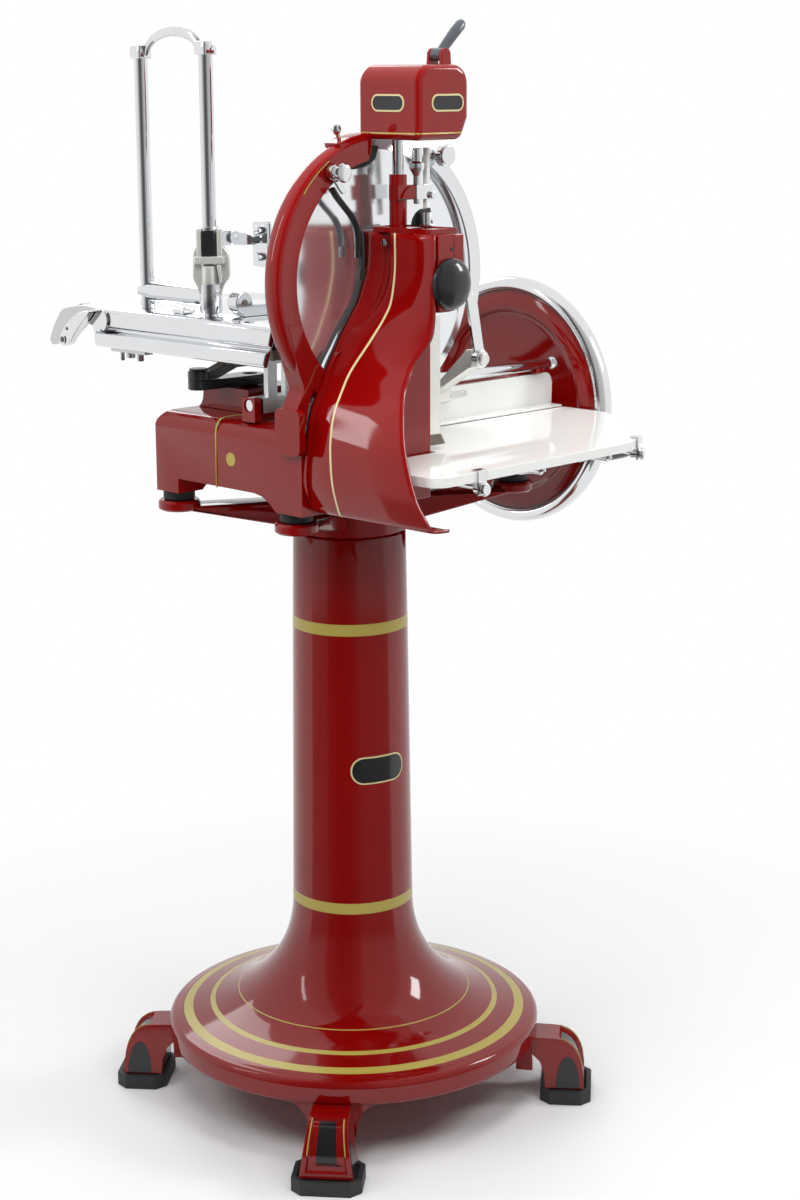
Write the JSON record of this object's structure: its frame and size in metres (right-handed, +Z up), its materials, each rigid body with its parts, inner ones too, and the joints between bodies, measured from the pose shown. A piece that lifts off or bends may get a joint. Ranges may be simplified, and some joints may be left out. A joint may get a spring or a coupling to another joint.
{
  "type": "flywheel meat slicer",
  "caption": "Hand crank meat slicer with flywheel, round knife, sharpener and sliding meat table, on a flared pedestal with rubber shoes.",
  "frame": {"origin": "centre of the bounding box's footprint, on the floor", "axes": "+X along the flywheel's axis towards the flywheel, +Y towards the meat table, +Z up"},
  "size_m": [0.7704, 0.6855, 1.4924],
  "materials": {
    "red": "gloss",
    "cream": "gloss",
    "black": "gloss",
    "chrome": "polished",
    "steel": "satin",
    "gear": "oiled",
    "rubber": "matt"
  },
  "bodies": {
    "stand": {"pedestal": "red", "stand_head": "red", "base_frame": "red", "shaft_bearing": "red", "crank_housing": "red", "rail_bracket_1": "red", "rail_bracket_2": "red", "ring_guard": "red", "side_cover": "red", "knife_housing": "red", "top_plate": "red", "tray": "cream", "shield_board": "cream", "hub_cap": "black", "front_rail": "chrome", "tray_frame": "chrome", "tray_clip_1": "chrome", "tray_clip_2": "chrome", "wiper_strip": "chrome", "sharpener_post": "chrome", "set_screw": "chrome", "rear_rail": "steel", "guard_bracket": "steel", "drive_chain": "gear", "rubber_shoe_1": "rubber", "rubber_shoe_2": "rubber", "rubber_shoe_3": "rubber", "rubber_shoe_4": "rubber", "machine_foot_1": "rubber", "machine_foot_2": "rubber", "machine_foot_3": "rubber", "machine_foot_4": "rubber"},
    "flywheel": {"flywheel": "red", "main_shaft": "gear", "handle_axle": "chrome"},
    "grip": {"handle_grip": "black"},
    "countershaft": {"counter_shaft": "gear"},
    "knife": {"knife": "steel", "knife_shaft": "gear"},
    "crank": {"crank": "black", "crankshaft": "gear"},
    "connecting_rod": {"connecting_rod": "black"},
    "carriage": {"carriage_bearing": "steel", "carriage_frame": "steel"},
    "roller": {"rear_roller": "steel"},
    "feed_screw": {"feed_screw": "steel"},
    "table": {"meat_table": "chrome", "clamp_posts": "chrome", "fixed_jaw": "chrome"},
    "end_lever": {"table_end_lever": "chrome"},
    "clamp": {"clamp_slider": "chrome"},
    "latch": {"clamp_latch": "black"},
    "gripper": {"gripper": "chrome"},
    "sharpener": {"sharpener_box": "red", "sharpener_stones": "gear"},
    "sharpener_lever": {"sharpener_lever": "black"},
    "deflector": {"deflector_lever": "black"},
    "swing_guard": {"swing_guard": "chrome"},
    "thumb_screw_1": {"thumb_screw_1": "chrome"},
    "thumb_screw_2": {"thumb_screw_2": "chrome"}
  },
  "joints": [
    {"name": "flywheel_spin", "type": "hinge", "parent": "stand", "child": "flywheel", "pos_m": [-0.1008, 0.065, 0.951], "axis": [1, 0, 0], "continuous": true},
    {"name": "grip_spin", "type": "hinge", "parent": "flywheel", "child": "grip", "pos_m": [0.3392, -0.081, 0.884], "axis": [1, 0, 0], "continuous": true},
    {"name": "countershaft_spin", "type": "hinge", "parent": "stand", "child": "countershaft", "pos_m": [-0.1858, 0.016, 0.918], "axis": [0, 1, 0], "continuous": true},
    {"name": "knife_spin", "type": "hinge", "parent": "stand", "child": "knife", "pos_m": [-0.1858, -0.134, 1.174], "axis": [0, 1, 0], "continuous": true},
    {"name": "crank_spin", "type": "hinge", "parent": "stand", "child": "crank", "pos_m": [-0.2328, 0.065, 1.03], "axis": [0, 0, 1], "continuous": true},
    {"name": "rod_swing", "type": "hinge", "parent": "crank", "child": "connecting_rod", "pos_m": [-0.3208, 0.065, 1.046], "axis": [0, 0, 1], "continuous": true},
    {"name": "carriage_slide", "type": "slide", "parent": "stand", "child": "carriage", "axis": [1, 0, 0], "range_m": [0, 0.176]},
    {"name": "roller_spin", "type": "hinge", "parent": "carriage", "child": "roller", "pos_m": [0.0002, 0.151, 1.0223], "axis": [0, 1, 0], "continuous": true},
    {"name": "feed_screw_turn", "type": "hinge", "parent": "carriage", "child": "feed_screw", "pos_m": [-0.1878, 0.076, 1.092], "axis": [0, 1, 0], "continuous": true},
    {"name": "table_feed", "type": "slide", "parent": "carriage", "child": "table", "axis": [0, 1, 0], "range_m": [0, 0.16]},
    {"name": "end_lever_tilt", "type": "hinge", "parent": "table", "child": "end_lever", "pos_m": [-0.3298, 0.265, 1.11], "axis": [1, 0, 0], "range_deg": [-25, 65]},
    {"name": "clamp_lift", "type": "slide", "parent": "table", "child": "clamp", "axis": [0, 0, 1], "range_m": [0, 0.185]},
    {"name": "latch_press", "type": "slide", "parent": "clamp", "child": "latch", "axis": [1, 0, 0], "range_m": [0, 0.002], "stiffness_N_per_m": 300},
    {"name": "gripper_tilt", "type": "hinge", "parent": "clamp", "child": "gripper", "pos_m": [-0.2868, 0.034, 1.222], "axis": [0, 1, 0], "range_deg": [-45, 20]},
    {"name": "sharpener_drop", "type": "slide", "parent": "stand", "child": "sharpener", "axis": [0, 0, -1], "range_m": [0, 0.01]},
    {"name": "sharpener_lever_turn", "type": "hinge", "parent": "sharpener", "child": "sharpener_lever", "pos_m": [-0.1308, -0.182, 1.447], "axis": [0, 1, 0], "range_deg": [-80, 35]},
    {"name": "deflector_swing", "type": "hinge", "parent": "stand", "child": "deflector", "pos_m": [-0.2748, -0.144, 1.306], "axis": [0, 1, 0], "range_deg": [0, 35]},
    {"name": "guard_swing", "type": "hinge", "parent": "stand", "child": "swing_guard", "pos_m": [-0.0068, -0.134, 1.056], "axis": [0, 1, 0], "range_deg": [0, 40]},
    {"name": "thumb_screw_1_turn", "type": "hinge", "parent": "stand", "child": "thumb_screw_1", "pos_m": [-0.2138, -0.33275, 0.9335], "axis": [-0.0228, 0.9997, 0], "continuous": true},
    {"name": "thumb_screw_2_turn", "type": "hinge", "parent": "stand", "child": "thumb_screw_2", "pos_m": [0.1172, -0.3075, 0.9335], "axis": [-0.4673, 0.8841, 0], "continuous": true}
  ],
  "couplings": [
    {"joint": "countershaft_spin", "follows": "flywheel_spin", "ratio": 1.3333},
    {"joint": "knife_spin", "follows": "flywheel_spin", "ratio": 1.7333},
    {"joint": "crank_spin", "follows": "flywheel_spin", "ratio": 0.4},
    {"joint": "rod_swing", "follows": "flywheel_spin", "ratio": -0.4}
  ]
}
